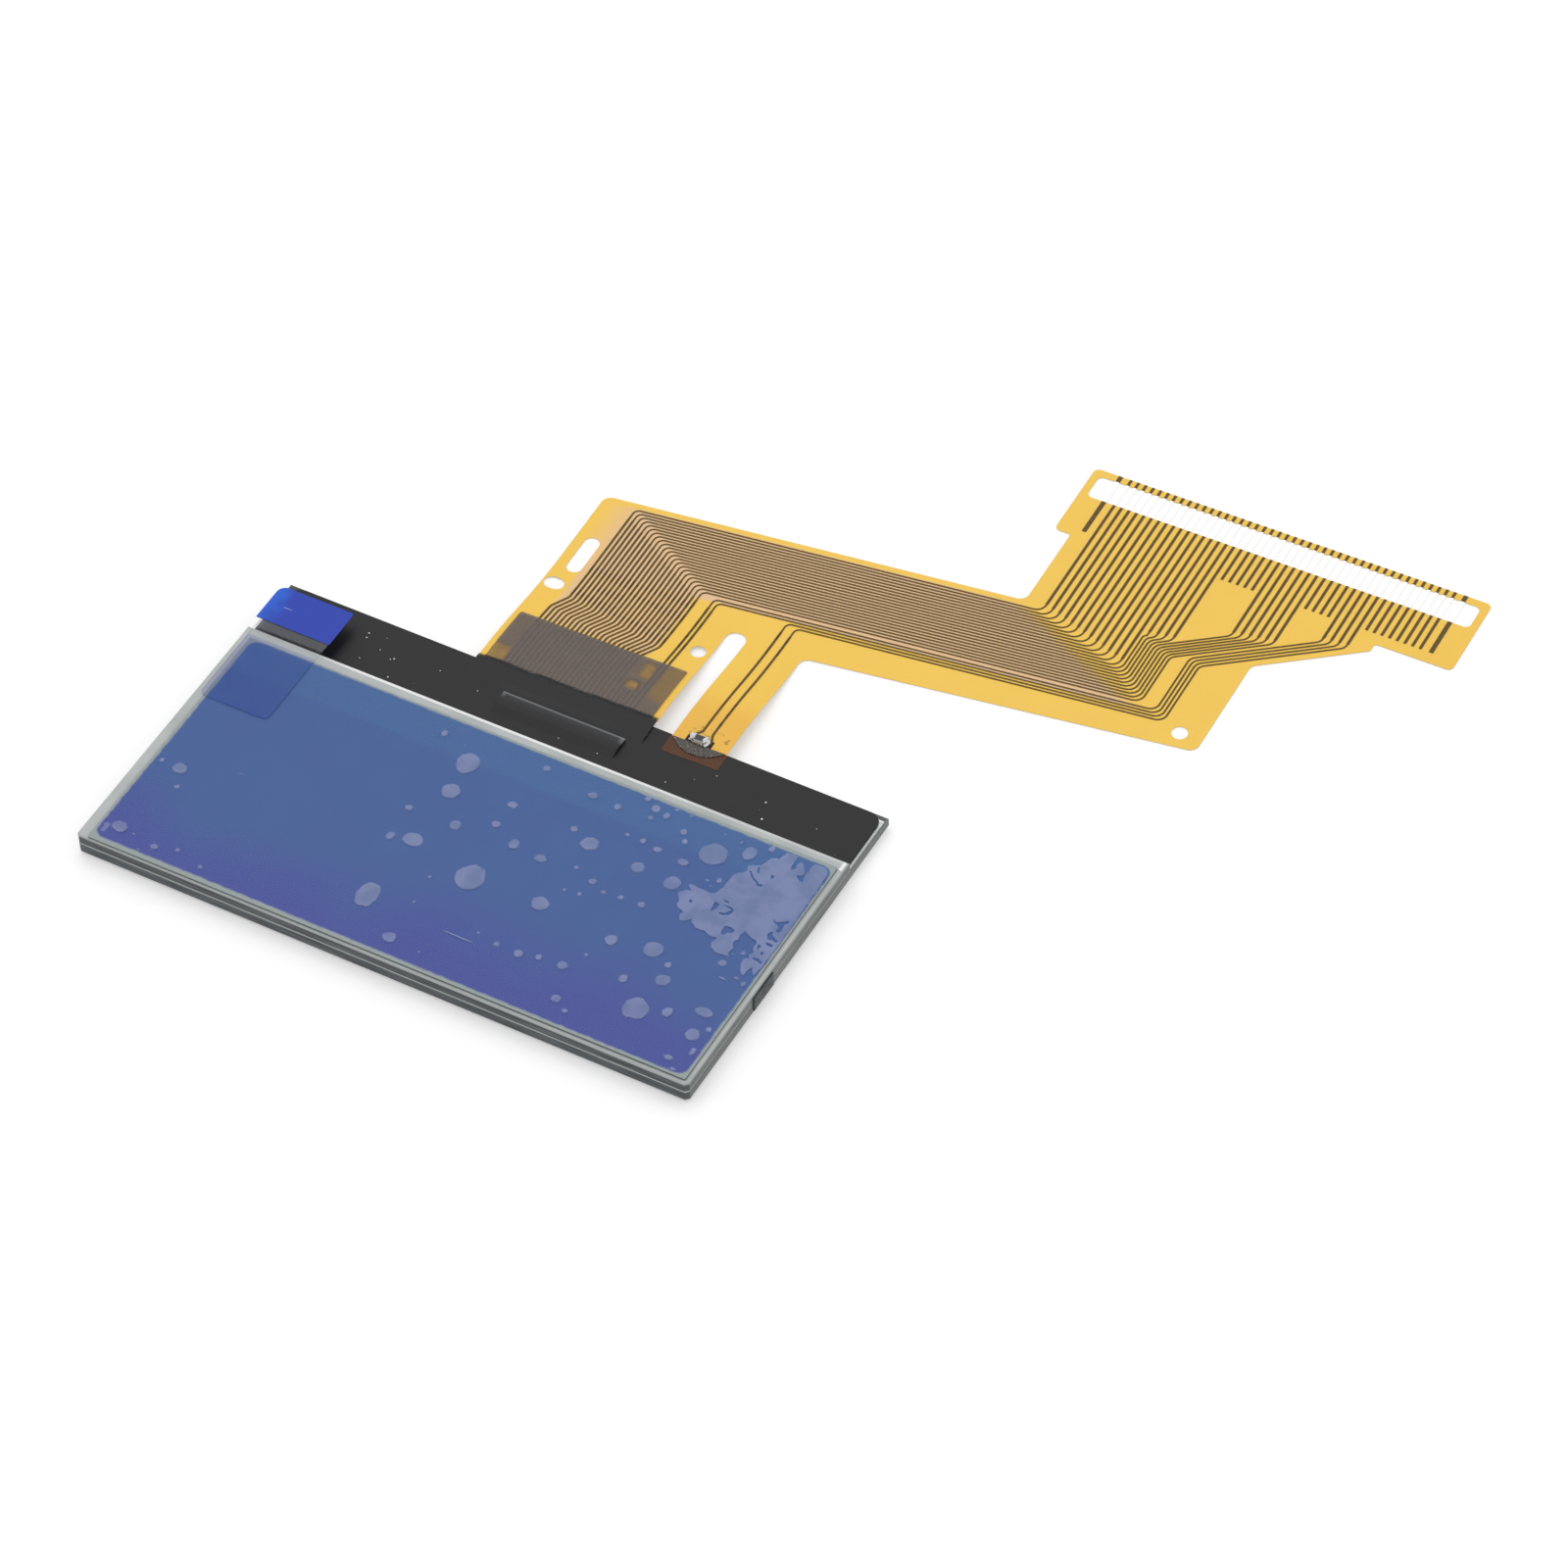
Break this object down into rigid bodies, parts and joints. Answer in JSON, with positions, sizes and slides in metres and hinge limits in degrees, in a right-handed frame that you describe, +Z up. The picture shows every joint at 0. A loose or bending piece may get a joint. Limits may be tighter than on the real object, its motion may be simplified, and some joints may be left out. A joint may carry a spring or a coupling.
{
  "type": "lcd display",
  "caption": "Bare stepped-glass liquid crystal cell under a bubbled protective film with a pull tab, its bonded amber flex ending in a row of bare solder leads.",
  "frame": {"origin": "centre of the display's underside, in the plane it rests on", "axes": "+X along the display's long side, +Y from the display towards its ledge and flex, +Z up out of the viewing face"},
  "size_m": [0.1031, 0.0895, 0.0028],
  "materials": {
    "soda_lime_glass": "ground and cut plate glass",
    "polarizer": "laminated film",
    "reflector_polarizer": "laminated film",
    "clear_film": "clear adhesive film",
    "blue_tape": "coloured film tape",
    "clear_tape": "clear film tape",
    "epoxy_seal": "printed epoxy",
    "liquid_crystal": "filled liquid layer",
    "plug_resin": "cured drop",
    "silver_paste": "dried conductive paste",
    "silicon": "polished die",
    "anisotropic_film": "pressed bonding film",
    "black_coating": "brushed-on silicone coat",
    "polyimide": "cast polyimide film",
    "copper_track": "etched copper under film",
    "tin_plate": "hot tin dip",
    "dark_tape": "black film tape",
    "brown_tape": "film tape",
    "hard_glue": "cured clear glue",
    "alumina": "fired ceramic",
    "resistor_glaze": "printed glaze",
    "solder": "reflowed solder"
  },
  "bodies": {
    "root": {"front_glass": "soda_lime_glass", "rear_glass": "soda_lime_glass", "front_polarizer": "polarizer", "rear_polarizer": "reflector_polarizer", "perimeter_seal": "epoxy_seal", "liquid_crystal": "liquid_crystal", "fill_port_plug": "plug_resin", "protective_film": "clear_film", "tab_tape": "clear_tape", "tab_grip": "blue_tape", "corner_silver_dab": "silver_paste", "driver_chip": "silicon", "chip_bond_film": "anisotropic_film", "ledge_coating": "black_coating", "flex_base_film": "polyimide", "flex_coverlay": "polyimide", "signal_tracks": "copper_track", "sensor_tracks": "copper_track", "spare_leads": "copper_track", "bond_dummy_tracks": "copper_track", "lead_tinning": "tin_plate", "flex_bond_film": "anisotropic_film", "bond_cover_tape": "dark_tape", "sensor_tape": "brown_tape", "fixing_glue": "hard_glue", "resistor_body": "alumina", "resistor_coat": "resistor_glaze", "resistor_terminals": "tin_plate", "solder_joints": "solder"}
  },
  "joints": []
}
